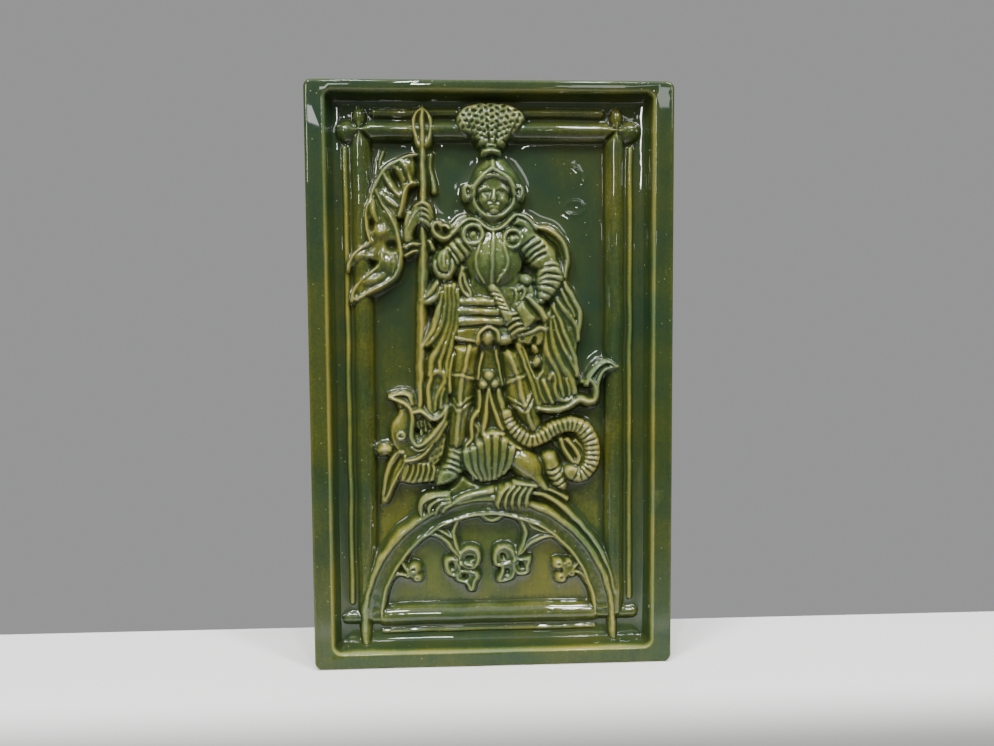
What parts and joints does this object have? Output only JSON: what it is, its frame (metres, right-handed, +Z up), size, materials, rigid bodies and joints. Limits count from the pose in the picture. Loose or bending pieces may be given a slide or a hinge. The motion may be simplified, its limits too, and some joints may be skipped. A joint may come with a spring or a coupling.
{
  "type": "glazed relief wall tile",
  "caption": "Upright rectangular relief tile in green-glazed fired clay: an armoured knight on a dragon above a cusped arch, in a deep raised frame with crossing rolls.",
  "frame": {"origin": "centre of the flat back face, which is bedded on the wall", "axes": "+Y into the wall, out of the back face; +Z up, along the tile's height; +X to the right as seen from the front"},
  "size_m": [0.155, 0.028, 0.25],
  "materials": {
    "green_glaze": "glossy transparent green lead-type glaze over fired clay, olive and ochre on the crests, nearly black in the hollows"
  },
  "bodies": {
    "root": {"relief_tile": "green_glaze"}
  },
  "joints": []
}
